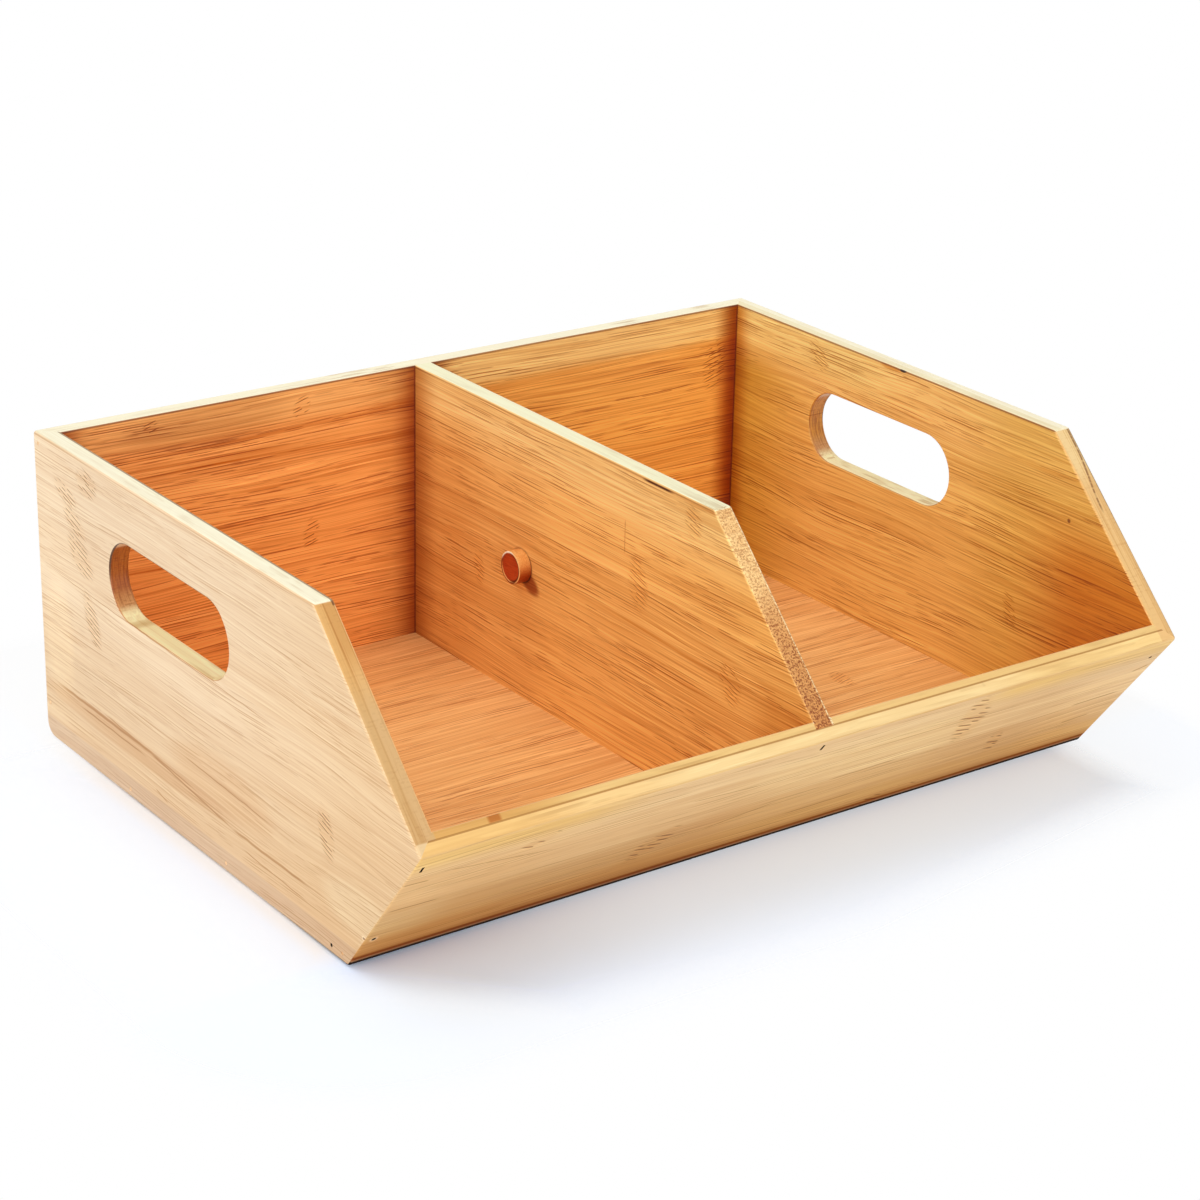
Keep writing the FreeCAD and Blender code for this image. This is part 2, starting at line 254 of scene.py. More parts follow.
def build_grain():
    """Bamboo glued up from strips. Along is the way that the fibres run, across the board's width and deep its
    thickness, in millimetres."""
    tree, graph, given, leave = new_group(
        "bamboo_grain", ("along", "across", "deep", "seed", "pitch", "start"),
        ("strip", "hue", "seam", "streak", "fibre", "dark", "light", "pore"))
    along, across, deep, seed = given["along"], given["across"], given["deep"], given["seed"]
    cell = graph.div(graph.sub(across, given["start"]), given["pitch"])
    strip = graph.math("FLOOR", cell)
    border = graph.math("ROUND", cell)
    tone = graph.white(graph.mul_add(strip, 7.31, seed))
    graph.feed(leave.inputs["strip"], graph.sub(tone, 0.5))
    graph.feed(leave.inputs["hue"], graph.white(graph.mul_add(strip, 3.77, graph.add(seed, 41.5))))

    border_gap = graph.mul(graph.away(cell, border), given["pitch"])
    border_tone = graph.white(graph.mul_add(border, 5.13, graph.add(seed, 11.9)))
    parts_of_border = graph.noise(graph.vector(graph.mul(along, 0.02), graph.mul(border, 3.7), seed))
    graph.feed(leave.inputs["seam"], graph.mul(
        graph.step(border_gap, 0.55, 0.1), graph.step(border_tone, 0.2, 0.8), graph.step(parts_of_border, 0.35, 0.6)))

    # Each strip takes its own stretch of the noise, and all fibres bend a little
    slid = graph.mul_add(tone, 700.0, along)
    bend = graph.noise(graph.vector(graph.mul(slid, 0.0075), graph.mul(across, 0.03), seed))
    wavy = graph.mul_add(graph.sub(bend, 0.5), 9.0, across)
    shift = graph.mul_add(seed, 3.3, deep)

    def threads(length, width, rough=0.5, offset=0.0):
        """Noise drawn out along the fibres."""
        place = graph.vector(
            graph.mul(slid, 1 / length), graph.mul_add(wavy, 1 / width, offset), graph.mul(shift, 1 / width))
        return graph.noise(place, 1.0, rough)

    def fibres(pitch, length, half, low, high, offset):
        """Rows of thin lines that follow the bends of the fibres."""
        return graph.group(FIBRES, {
            "along": slid, "across": wavy, "deep": shift, "pitch": pitch, "length": length, "half": half, "low": low,
            "high": high, "offset": graph.add(seed, offset)})

    streaks = threads(length=130.0, width=4.2)
    graph.feed(leave.inputs["streak"], graph.sub(streaks, 0.5))
    fine = threads(length=70.0, width=0.72, rough=0.6, offset=13.0)
    graph.feed(leave.inputs["fibre"], graph.sub(fine, 0.5))
    patch = graph.step(graph.noise(graph.vector(graph.mul(slid, 0.011), graph.mul(wavy, 0.08), seed)), 0.36, 0.62)
    veins = fibres(pitch=1.5, length=45.0, half=0.34, low=0.5, high=0.62, offset=31.0)
    graph.feed(leave.inputs["dark"], graph.mul(veins["line"], graph.mul_add(patch, 0.7, 0.3)))
    pale = fibres(pitch=2.3, length=60.0, half=0.4, low=0.52, high=0.66, offset=77.0)
    graph.feed(leave.inputs["light"], graph.most(veins["glow"], pale["line"]))
    hairs = fibres(pitch=1.05, length=18.0, half=0.3, low=0.5, high=0.62, offset=53.0)
    graph.feed(leave.inputs["pore"], graph.mul(hairs["line"], patch))
    return tree


def build_spot():
    """Soft patch, 1 in its middle and 0 outside, that leans along the fibres by its slant."""
    tree, graph, given, leave = new_group(
        "spot", ("along", "across", "at along", "at across", "half along", "half across", "slant"), ("fall",))
    rise = graph.sub(given["across"], given["at across"])
    run = graph.sub(graph.sub(given["along"], given["at along"]), graph.mul(given["slant"], rise))
    a = graph.div(run, given["half along"])
    b = graph.div(rise, given["half across"])
    graph.feed(leave.inputs["fall"], graph.step(graph.add(graph.mul(a, a), graph.mul(b, b)), 1.0, 0.25))
    return tree


def build_line():
    """Thin line between two points, fading at its ends."""
    tree, graph, given, leave = new_group(
        "line", ("along", "across", "along 1", "across 1", "along 2", "across 2", "half width"), ("fall",))
    share = graph.div(graph.sub(given["along"], given["along 1"]), graph.sub(given["along 2"], given["along 1"]))
    middle = graph.mul_add(share, graph.sub(given["across 2"], given["across 1"]), given["across 1"])
    gap = graph.div(graph.away(given["across"], middle), given["half width"])
    ends = graph.mul(graph.step(share, 0.0, 0.15), graph.step(share, 1.0, 0.8))
    graph.feed(leave.inputs["fall"], graph.mul(graph.step(gap, 1.0, 0.3), ends))
    return tree


GRAIN = build_grain()
SPOT = build_spot()
LINE = build_line()


class Wood:
    """Bamboo material of one board, built up from its faces' colours, its grain and its marks.

    Colours are in 0 to 255, and tints are factors on the linear colour. A span is the name of a place or direction,
    the value where something starts, the value from which it is there in full, and, where it isn't 0 to 1, how much
    of it is there at both.
    """

    def __init__(self, name, along, across, deep, seed, pitch, start, base, strength):
        self.material, self.graph, self.place, self.normal = new_material(name)
        self.x, self.y, self.z = self.graph.parts(self.place)
        self.nx, self.ny, self.nz = self.graph.parts(self.normal)
        self.along, self.across, self.deep = (self.measure(part) for part in (along, across, deep))
        self.grain = self.graph.group(GRAIN, {
            "along": self.along, "across": self.across, "deep": self.deep, "seed": seed, "pitch": pitch,
            "start": start})
        self.colour = linear(*base)
        self.strength = strength
        self.fibre = self.grain["fibre"]
        self.darkness = self.graph.mul(self.grain["seam"], SEAM_DARKNESS)
        self.fineness = 1.0
        self.vein_strength = 1.0
        self.knot = None
        self.knot_darkness = 0.9
        self.knot_strokes = {"pitch": 2.0, "length": 5.5, "half": 0.36}
        self.knot_tint = None
        self.rawness = 0.0
        self.specular = 0.5
        self.seed = seed

    def measure(self, part):
        """A place along an axis, or along a direction from the nose of the lip."""
        if isinstance(part, str):
            return getattr(self, part)
        return self.graph.sub(self.graph.dot(self.place, tuple(part)), part.dot(NOSE))

    @cached_property
    def wavy(self):
        """The place across the board, with the small unevenness of a line in bamboo."""
        graph = self.graph
        uneven = graph.noise(graph.vector(graph.mul(self.along, 0.07), self.seed, 0.0), 1.0, 0.6)
        return graph.mul_add(graph.sub(uneven, 0.5), 1.2, self.across)

    def facing(self, direction, least=0.8):
        """1 where the surface faces this way, 0 where it doesn't."""
        turned = self.graph.dot(self.normal, tuple(Vector(direction).normalized()))
        return self.graph.step(turned, least - 0.12, least)

    def within(self, mask, *spans):
        """The mask, where each span has set in."""
        steps = [self.graph.step(getattr(self, name), *values) for name, *values in spans]
        return self.graph.mul(mask, *steps)

    def spots(self, *rows):
        """The most of a few soft patches: along, across, half along, half across and slant of each."""
        names = ("at along", "at across", "half along", "half across", "slant")
        falls = [
            self.graph.group(SPOT, {"along": self.along, "across": self.across, **dict(zip(names, row))})["fall"]
            for row in rows]
        return self.graph.most(*falls)

    def disc(self, place, radius):
        """One round patch."""
        return self.spots((*place, radius, radius, 0.0))

    def paint(self, mask, colour):
        """Gives the surface another colour where the mask says."""
        self.colour = self.graph.mix(mask, self.colour, linear(*colour))

    def tint(self, mask, colour):
        """Multiplies the colour by another one where the mask says."""
        self.colour = self.graph.mix(mask, self.colour, (*colour, 1.0), "MULTIPLY")

    def shade(self, mask, *rows):
        """Tints the mask's part of the surface: for each row a tint, and the spans over which it sets in."""
        for colour, *spans in rows:
            self.tint(self.within(mask, *spans), colour)

    def set_strength(self, mask, value):
        """Makes the grain this strong where the mask says."""
        graph = self.graph
        self.strength = graph.add(self.strength, graph.mul(mask, graph.sub(value, self.strength)))

    def darken(self, mask, amount):
        """Dark line or speck where the mask says: of the grain, or a thin line of painted shade."""
        self.darkness = self.graph.most(self.darkness, self.graph.mul(mask, amount))

    def shade_corner(self, mask, place, corner, reach, colour, line):
        """Painted warm shade towards an inner corner at this place, with a thin dark line of painted shade in it."""
        gap = self.graph.away(place, corner)
        self.tint(self.graph.mul(mask, self.graph.step(gap, reach, 0.0)), colour)
        self.darken(self.graph.mul(mask, self.graph.step(gap, 0.8, 0.3)), line)

    def pockets(self, places, half, depth, colour=PAINTED_HOLE_SHADE):
        """Colours the walls of the small holes over brads, which lie below the surface: by default dark, as painted
        shade, or in a given colour such as pale filler.
        """
        graph = self.graph
        boxes = [
            graph.mul(*(
                graph.near(value, middle, size + 0.3, size + 0.1)
                for value, middle, size in zip((self.along, self.across), place, half)))
            for place in places]
        self.paint(graph.mul(graph.most(*boxes), graph.step(depth, 0.03, 0.1)), colour)

    def lines(self, rows, amount):
        """Thin dark lines: along and across of both ends, and half width of each."""
        names = ("along 1", "across 1", "along 2", "across 2", "half width")
        for row in rows:
            fall = self.graph.group(LINE, {"along": self.along, "across": self.wavy, **dict(zip(names, row))})["fall"]
            self.darken(fall, amount)

    def finish(self, dark_tint, roughness=0.42):
        """Lays grain, marks, gloss and relief over the faces' colours and returns the material."""
        graph, grain = self.graph, self.grain
        tone = graph.mul(self.strength, graph.add(
            graph.mul(grain["strip"], STRIP_TONE), graph.mul(grain["streak"], STREAK_TONE),
            graph.mul(self.fibre, FIBRE_TONE * self.fineness), graph.mul(grain["light"], LIGHT_TONE)))
        warm_tone = graph.node(
            "ShaderNodeVectorMath", {0: tone, 1: WARM_TONE, 2: (1.0, 1.0, 1.0)}, operation="MULTIPLY_ADD").outputs[0]
        colour = graph.node("ShaderNodeVectorMath", {0: self.colour, 1: warm_tone}, operation="MULTIPLY").outputs[0]
        colour = graph.mix(graph.mul(grain["hue"], self.strength, HUE_SHARE), colour, HUE_TINT, "MULTIPLY")
        line_strength = graph.math("POWER", self.strength, 0.5)
        darkness = graph.most(
            self.darkness, graph.mul(grain["dark"], line_strength, DARK_LINES * self.vein_strength),
            graph.mul(grain["pore"], line_strength, HAIR_LINES * self.fineness))
        colour = graph.mix(darkness, colour, dark_tint, "MULTIPLY")
        if self.knot is not None:
            dashes = graph.group(FIBRES, {
                "along": self.along, "across": graph.mul_add(self.along, KNOT_SLANT, self.across), "deep": self.deep,
                "low": 0.4, "high": 0.48, "offset": self.seed, **self.knot_strokes})
            colour = graph.mix(graph.mul(self.knot, KNOT_SHARE), colour, KNOT_TINT, "MULTIPLY")
            strokes = graph.mul(self.knot, dashes["line"], self.knot_darkness)
            colour = graph.mix(strokes, colour, self.knot_tint or dark_tint, "MULTIPLY")
            colour = graph.scale(colour, graph.mul_add(graph.mul(self.knot, dashes["glow"]), KNOT_GLOW, 1.0))
        rough = graph.add(graph.mul(grain["streak"], 0.25), graph.mul(darkness, 0.2), self.rawness, roughness)
        height = graph.add(self.fibre, graph.mul(grain["streak"], 0.5))
        set_shader(self.material, colour, rough, height, relief=0.35, reach=0.00012, specular=self.specular)
        return self.material


def dress(node, material):
    """Puts a material in each slot of a node of the model."""
    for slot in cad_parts[node].material_slots:
        slot.material = material


class EndPanel(Wood):
    """Wood of an end panel, whose outer face looks to side: -1 is left and 1 is right."""

    def __init__(self, node, side, seed, pitch, start):
        super().__init__(
            "bamboo_" + node, "y", "z", "x", seed=seed, pitch=pitch, start=start, base=OUTER, strength=0.45)
        graph = self.graph
        self.side = side
        self.is_left = side < 0
        self.upright = graph.size(self.nx)
        self.turned_in = graph.mul(self.nx, -side)
        self.inside = self.facing((-side, 0, 0))
        self.inner_half = graph.step(self.turned_in, 0.3, 0.6)
        self.from_face = graph.sub(HALF_WIDTH, graph.mul(self.x, side))
        self.share_in = graph.mul(self.from_face, 1 / BOARD)
        self.from_lip = self.measure(LIP_INWARD)

    def colour_outer_face(self):
        """The board's plain colour, browner low down and in front, with a few wide patches on the left."""
        self.shade(
            1.0,
            ((0.88, 0.82, 0.73), ("z", 80.0, 22.0)),
            ((0.88, 0.88, 0.98), ("z", 10.2, 9.0)),
            ((0.95, 0.88, 0.76), ("y", 20.0, -140.0)),
            ((1.07, 1.09, 1.1), ("y", 95.0, 142.0)))
        if self.is_left:
            self.tint(self.spots((70.0, 25.0, 100.0, 6.5, 0.0)), (0.9, 0.81, 0.72))
            self.tint(self.spots((-5.0, 37.0, 50.0, 14.0, 0.0)), (0.95, 0.88, 0.8))
            self.tint(self.spots((-109.0, 26.0, 30.0, 13.0, 0.0)), (1.06, 1.14, 1.24))
            self.tint(self.spots((136.0, 50.0, 16.0, 34.0, 0.0)), (1.06, 1.07, 1.05))

    def colour_inner_face(self, colour):
        """The inner face, with painted shade: warmer and darker low down and in front, and in the corner at the back.
        """
        self.paint(self.inside, colour)
        self.set_strength(self.inside, 1.0)
        # Lighter near the top, and painted shade towards the front, strongest low down in front
        self.shade(
            self.inside,
            ((1.0, 1.07, 1.15), ("z", 118.0, 134.0)),
            ((1.0, 1.14, 1.2), ("z", 114.0, 128.0), ("y", 10.0, 60.0)),
            ((0.84, 0.8, 0.6), ("y", -5.0, -65.0)),
            ((0.76, 0.45, 0.22), ("y", -50.0, -105.0), ("z", 120.0, 80.0)))
        # On the right, painted shade lower down, most of all near the back
        if not self.is_left:
            self.shade(
                self.inside,
                ((0.97, 0.96, 0.86), ("z", 122.0, 108.0)),
                ((0.76, 0.72, 0.35), ("y", 70.0, 140.0), ("z", 130.0, 108.0)))
        # Painted shade towards the corner at the back
        corner_shade_tint = (0.7, 0.5, 0.32) if self.is_left else (0.74, 0.44, 0.16)
        self.shade_corner(self.inside, self.y, INNER_BACK_Y, reach=14.0, colour=corner_shade_tint, line=0.9)

    def colour_slope(self):
        """The edge cut off at 45 degrees, with its glue line, streaks and on the right a crack."""
        graph = self.graph
        slope = self.facing((0, -1, 1), 0.85)
        self.paint(slope, (211, 168, 110) if self.is_left else (235, 190, 124))
        if self.is_left:
            self.shade(
                slope,
                ((1.04, 1.06, 1.14), ("share_in", 0.42, 0.5)),
                ((0.85, 0.76, 0.62), ("share_in", 0.36, 0.44), ("z", 116.0, 128.0)))
        else:
            self.shade(
                slope,
                ((1.06, 1.2, 1.4), ("z", 118.0, 130.0)),
                ((0.9, 0.87, 0.82), ("share_in", 0.32, 0.26)))
            from_crack = graph.away(self.share_in, graph.step(self.z, 112.0, 134.0, 0.55, 0.2))
            parts = graph.noise(graph.vector(graph.mul(self.z, 0.5), self.seed, 0.0))
            crack = graph.mul(slope, graph.step(from_crack, 0.08, 0.03), graph.step(parts, 0.4, 0.5, 0.4, 1.0))
            self.shade(crack, ((0.42, 0.31, 0.22), ("z", 110.0, 114.0)))
            self.shade(self.facing((1, -1, 1), 0.95), ((0.45, 0.4, 0.3), ("z", 100.0, 118.0, 0.3, 1.0)))
        glue = graph.near(self.share_in, 0.44 if self.is_left else 0.35, 0.06, 0.02)
        self.tint(graph.mul(slope, glue), (0.9, 0.84, 0.74))
        streaks = graph.noise(graph.vector(graph.mul(self.y, 0.03), graph.mul(self.x, 1.3), self.seed), 2.0, 0.6)
        self.tint(graph.mul(slope, graph.step(streaks, 0.52, 0.66)), (0.86, 0.76, 0.62))
        self.set_strength(slope, 0.05)
        if self.is_left:
            self.shade(slope, ((1.12, 1.03, 0.84), ("z", 104.0, 124.0)))
            self.paint(self.within(slope, ("from_lip", 5.8, 5.0)), (232, 198, 148))
        inner_arris = self.within(self.facing(SLOPE_OUT, 0.5), ("turned_in", 0.15, 0.35))
        self.paint(inner_arris, (248, 198, 130) if self.is_left else (234, 182, 108))

    def colour_hole(self):
        """The wall of the hand hole, lightest where it faces up, as painted light, and the round of its outer edge in
        painted shade.
        """
        graph = self.graph
        near_hole = graph.mul(
            graph.near(self.y, HOLE.y, HOLE_HALF_LENGTH + 2.4, HOLE_HALF_LENGTH + 1.8),
            graph.near(self.z, HOLE.z, HOLE_HALF_HEIGHT + 2.4, HOLE_HALF_HEIGHT + 1.8))
        wall = self.within(near_hole, ("upright", 0.85, 0.7))
        self.paint(wall, (173, 96, 34) if self.is_left else (210, 141, 46))
        # Lighter where the wall turns up, and lightest, as painted light, where it faces up
        self.paint(self.within(wall, ("nz", 0.35, 0.75)), (206, 146, 86))
        self.paint(self.within(wall, ("nz", 0.75, 0.97)), (255, 238, 180))
        streaks = graph.noise(graph.vector(graph.mul(self.z, 0.09), graph.mul(self.x, 1.3), self.seed + 3), 2.0, 0.65)
        self.shade(graph.mul(wall, graph.step(streaks, 0.46, 0.62)), ((0.7, 0.56, 0.42), ("nz", 0.95, 0.6)))
        self.set_strength(wall, 0.4)
        # Painted shade on the round of the hole's outer edge
        arris = self.within(near_hole, ("from_face", 0.95, 0.5), ("upright", 0.98, 0.9), ("nz", 0.3, -0.1))
        self.paint(arris, (96, 58, 30))

    def colour_top(self, cream):
        """The top edge, the rounds and lines along it, and the underside."""
        graph = self.graph
        top = self.within(self.facing((0, 0, 1), 0.9), AT_TOP)
        self.paint(top, cream)
        if not self.is_left:
            self.paint(self.within(top, ("from_face", 4.4, 5.0)), (246, 232, 188))
        self.set_strength(top, 0.22)
        self.shade(
            self.facing((self.side, 0, 1), 0.9),
            ((0.86, 0.84, 0.8), ("y", 70.0, 138.0), ("z", TOP_Z - 1.6, TOP_Z - 1.0)))
        self.paint(self.facing((0, 0, -1)), UNDERSIDE)
        under_arris = self.within(graph.near(self.z, TOP_Z - 0.9, 0.55, 0.2), ("upright", 0.8, 0.95))
        self.darken(graph.mul(under_arris, graph.sub(1.0, self.inside)), 0.45)
        # Thin dark line of painted shade under the inner round of the top
        inner_rim = graph.mul(graph.near(self.z, TOP_Z - 0.5, 0.5, 0.15), self.inner_half)
        self.darken(inner_rim, 0.95)
        self.tint(inner_rim, (0.7, 0.75, 0.9))
        if self.is_left:
            inner_line = self.within(1.0, ("nz", 0.4, 0.6), ("from_face", BOARD - 1.6, BOARD - 1.2), AT_TOP)
            self.tint(inner_line, (0.34, 0.25, 0.15))

    def add_marks(self, knots, lines):
        """Chips and spots, with a dot of painted shadow inside on the right, the mitre, knots, dark lines, what shows
        of the brads with painted shade in their holes, and on the left a line of painted contact shadow at the foot.
        """
        graph = self.graph
        if not self.is_left:
            self.tint(graph.mul(self.inner_half, self.spots((29.0, 139.6, 9.0, 1.6, 0.0))), (0.85, 0.66, 0.45))
            self.paint(graph.mul(self.inner_half, self.spots((20.8, 140.1, 2.7, 1.0, 0.0))), (64, 38, 16))
            # A small dot of painted shadow on the inner face
            self.paint(graph.mul(self.inside, self.disc((-92.6, 102.9), 1.2)), (146, 88, 44))
        outside = graph.sub(1.0, self.inside)
        self.shade(outside, ((0.96, 0.97, 0.98), ("upright", 0.3, 0.6), ("from_lip", 2.4, 0.6), ("z", 66.0, 62.0)))
        self.knot_tint = graph.mix(self.inside, OUTER_STROKES, INNER_LINES)
        self.knot = self.spots(*knots)
        self.lines(lines, 0.9)
        # Painted shade on the walls of the bare pin's hole, and pale filler over the others
        self.pockets((PANEL_BARE_PIN,), PIN_HALF, self.from_face)
        self.pockets(PANEL_FILLED_PINS, PIN_HALF, self.from_face, FILLED_HOLE)
        if self.is_left:
            self.paint(self.disc(FILLER_SPOT, 1.6), (250, 222, 180))
            self.paint(self.disc(FILLER_SPOT, 0.8), (176, 138, 100))
            self.tint(self.spots((-119.0, 15.0, 4.0, 4.5, 0.0)), (0.93, 0.85, 0.76))
            # Thin dark line of painted contact shadow along the foot at the front
            self.shade(1.0, ((0.2, 0.14, 0.1), ("z", 1.3, 0.7), ("y", -40.0, -92.0)))


def build_end_panel(node, side, seed, pitch, start, inner, cream, knots, lines):
    wood = EndPanel(node, side, seed, pitch, start)
    wood.colour_outer_face()
    wood.colour_inner_face(inner)
    wood.colour_slope()
    wood.colour_hole()
    wood.colour_top(cream)
    wood.add_marks(knots, lines)
    dress(node, wood.finish(wood.graph.mix(wood.inside, PALE_LINES, INNER_LINES)))


def build_end_panels():
    build_end_panel(
        "left_end_panel", side=-1, seed=2.0, pitch=18.4, start=9.6, inner=(255, 190, 112), cream=CREAM,
        knots=(
            (104.0, 131.0, 11.0, 7.5, 0.0), (124.0, 121.0, 11.0, 6.0, 0.8), (116.5, 110.0, 10.0, 7.5, 0.9),
            (112.0, 96.5, 12.0, 11.0, 0.55), (103.5, 69.5, 7.5, 14.5, 0.35), (-87.0, 50.0, 6.5, 13.0, 0.2)),
        lines=(
            (144.0, 28.6, 38.0, 28.4, 1.0), (60.0, 28.6, -20.0, 21.0, 0.6), (-10.0, 21.5, -78.0, 21.5, 0.9),
            (51.5, 13.4, 40.0, 10.7, 0.45), (153.0, 81.6, -70.0, 79.4, 0.35), (120.0, 25.6, 55.0, 24.9, 0.5),
            (100.0, 30.6, 10.0, 26.2, 0.45), (30.0, 38.4, -50.0, 36.0, 0.4), (-20.0, 16.0, -75.0, 14.4, 0.4)))
    build_end_panel(
        "right_end_panel", side=1, seed=5.0, pitch=20.0, start=0.0, inner=(255, 206, 124), cream=CREAM_FAR,
        knots=((80.5, 131.0, 7.5, 8.5, 0.5), (-60.0, 50.0, 5.0, 10.0, 0.2)),
        lines=((124.0, 99.8, 60.0, 100.1, 0.4), (22.0, 137.6, 0.0, 137.0, 0.5)))


def build_back_panel():
    wood = Wood(
        "bamboo_back_panel", "x", "z", "y", seed=8.0, pitch=20.0, start=4.5, base=OUTER, strength=0.42)
    graph = wood.graph
    inside = wood.facing((0, -1, 0))
    wood.paint(inside, (246, 168, 90))
    wood.set_strength(inside, 1.35)
    wood.set_strength(wood.within(inside, ("x", -60.0, -90.0)), 1.7)
    rightwards = ("x", -4.0, 4.0)
    wood.shade(
        inside,
        ((0.96, 1.1, 1.3), ("x", 4.0, -4.0), ("z", 123.0, 130.0)),
        ((1.0, 1.5, 1.95), rightwards, ("z", 122.0, 128.0)),
        ((1.0, 1.12, 0.85), rightwards, ("z", 128.0, 122.0)))
    # Painted shadow: a soft darker patch near the top on the left
    wood.tint(graph.mul(inside, wood.spots((-112.0, 133.0, 50.0, 16.0, 0.0))), (0.8, 0.75, 0.7))
    # Painted warm shade towards each inner corner
    for corner in (-INNER_X, -0.5 * BOARD, 0.5 * BOARD, INNER_X):
        wood.shade_corner(inside, wood.x, corner, reach=14.0, colour=(0.55, 0.3, 0.13), line=0.95)
    # More painted shade beside the divider on the left, and deep in the right corner
    wood.shade(
        inside,
        ((0.8, 0.75, 0.68), ("x", -34.0, -12.0), ("x", 0.0, -2.0)),
        ((0.6, 0.3, 0.04), ("x", 165.0, 180.0)))
    top = wood.facing((0, 0, 1), 0.9)
    wood.paint(top, CREAM_FAR)
    wood.set_strength(top, 0.22)
    # Thin dark line of painted shade under the inner round of the top
    inner_rim = wood.within(graph.near(wood.z, TOP_Z - 0.5, 0.6, 0.2), ("ny", -0.3, -0.6))
    wood.darken(inner_rim, 0.95)
    wood.tint(inner_rim, (0.75, 0.8, 0.9))
    wood.paint(wood.facing((0, 0, -1)), UNDERSIDE)
    wood.knot = wood.spots(
        (168.0, 112.0, 8.0, 15.0, 0.1), (-139.0, 135.0, 4.5, 4.5, 0.0), (-64.0, 131.0, 5.0, 6.0, 0.2),
        (-60.0, 70.0, 5.0, 9.0, 0.1), (95.0, 51.0, 5.0, 10.0, 0.2))
    wood.lines(((32.0, 127.7, 175.0, 124.4, 0.5), (-164.0, 123.9, -115.0, 124.9, 0.5)), 0.6)
    wood.knot_darkness = 1.0
    wood.knot_tint = (0.36, 0.19, 0.09, 1.0)
    dress("back_panel", wood.finish(INNER_LINES))


def build_divider():
    wood = Wood(
        "bamboo_divider", "y", "z", "x", seed=11.0, pitch=20.5, start=9.5, base=(255, 200, 116), strength=1.0)
    graph = wood.graph
    wood.shade(
        1.0,
        ((1.0, 1.17, 1.48), ("z", 108.0, 134.0)),
        ((0.89, 0.85, 0.85), ("y", 25.0, 60.0), ("z", 124.0, 110.0)),
        ((0.9, 0.83, 0.75), ("y", 75.0, 110.0), ("z", 134.0, 120.0)),
        ((0.84, 0.72, 0.55), ("y", -104.0, -124.0), ("z", 86.0, 70.0)),
        ((0.88, 0.82, 0.72), ("y", 0.0, -120.0)))
    side_face = graph.step(graph.size(wood.nx), 0.7, 0.9)
    wood.set_strength(wood.within(side_face, ("y", 0.0, -50.0), ("z", 116.0, 96.0)), 1.4)
    # Painted shade towards the corner at the back, and a thin line of painted shade under the top's rounds
    wood.shade_corner(side_face, wood.y, INNER_BACK_Y, reach=22.0, colour=(0.66, 0.45, 0.28), line=0.9)
    wood.darken(graph.mul(side_face, graph.near(wood.z, TOP_Z - 0.9, 0.55, 0.2)), 0.75)

    # Painted shadow of the knob, and a dark ring of painted shade round it, strongest below
    left_face = graph.step(wood.nx, -0.7, -0.9)
    shadow = wood.spots((KNOB.y - 6.5, KNOB.z - 6.5, 8.0, 6.0, 0.6))
    wood.tint(graph.mul(left_face, shadow), (0.4, 0.17, 0.1))
    from_y, from_z = graph.sub(wood.y, KNOB.y), graph.sub(wood.z, KNOB.z)
    ring = graph.step(graph.length(from_y, from_z), 8.9, 7.6)
    below = graph.step(graph.add(from_y, from_z), 3.0, -5.0, 0.5, 1.0)
    wood.tint(graph.mul(left_face, ring, below), (0.24, 0.09, 0.04))

    # Sloped edge with its dark chips, paler at its left side, and a painted highlight along its right edge
    slope = wood.facing((0, -1, 1), 0.85)
    wood.paint(slope, (246, 200, 134))
    wood.shade(
        slope,
        ((0.77, 0.57, 0.4), ("z", 122.0, 98.0)),
        ((0.93, 0.86, 0.78), ("z", 86.0, 72.0)))
    wood.set_strength(slope, 0.6)
    specks = graph.step(graph.noise(graph.scale(wood.place, 1.15), 2.0, 0.7), 0.5, 0.58)
    specks = wood.within(graph.mul(slope, specks), ("z", 120.0, 90.0, 0.75, 1.0))
    wood.darken(specks, 1.0)
    wood.shade(specks, ((0.78, 0.72, 0.64), ("z", 112.0, 92.0)))
    wood.shade(slope, ((1.07, 1.12, 1.14), ("x", -2.4, -3.4)))
    # Painted highlight along the right edge
    wood.paint(wood.within(slope, ("x", 3.3, 3.8)), (255, 228, 176))

    top = wood.facing((0, 0, 1), 0.9)
    wood.paint(top, (248, 243, 202))
    wood.set_strength(top, 0.22)
    wood.knot = wood.spots(
        (-30.0, 92.0, 8.0, 14.0, 0.12), (-94.0, 70.0, 8.5, 11.5, 0.1), (-66.5, 131.0, 7.0, 8.0, 0.1),
        (90.0, 60.0, 5.0, 9.5, 0.1))
    wood.lines(((49.5, 71.0, 18.8, 69.7, 0.4),), 0.6)
    rim_chips = graph.mul(graph.near(wood.z, 139.3, 0.7, 0.3), wood.spots((-42.0, 139.3, 12.0, 2.0, 0.0)))
    wood.paint(graph.mul(side_face, rim_chips), (96, 52, 24))
    strip_end = graph.mul(graph.near(wood.y, -20.0, 0.5, 0.2), graph.near(wood.z, 110.0, 8.0, 6.0))
    wood.darken(graph.mul(side_face, strip_end), 0.55)
    dress("divider", wood.finish(INNER_LINES))


def build_floor_panel():
    wood = Wood(
        "bamboo_floor_panel", "x", "y", "z", seed=14.0, pitch=20.0, start=3.0, base=(240, 183, 114), strength=1.0)
    underside = wood.facing((0, 0, -1))
    wood.paint(underside, UNDERSIDE)
    wood.set_strength(underside, 0.5)
    wood.knot = wood.spots(
        (-120.0, 33.0, 5.0, 10.0, 0.1), (-60.0, -47.0, 5.0, 10.0, 0.2), (70.0, 73.0, 5.0, 10.0, 0.1),
        (130.0, -7.0, 5.0, 10.0, 0.1))
    dress("floor_panel", wood.finish(INNER_LINES, roughness=0.45))


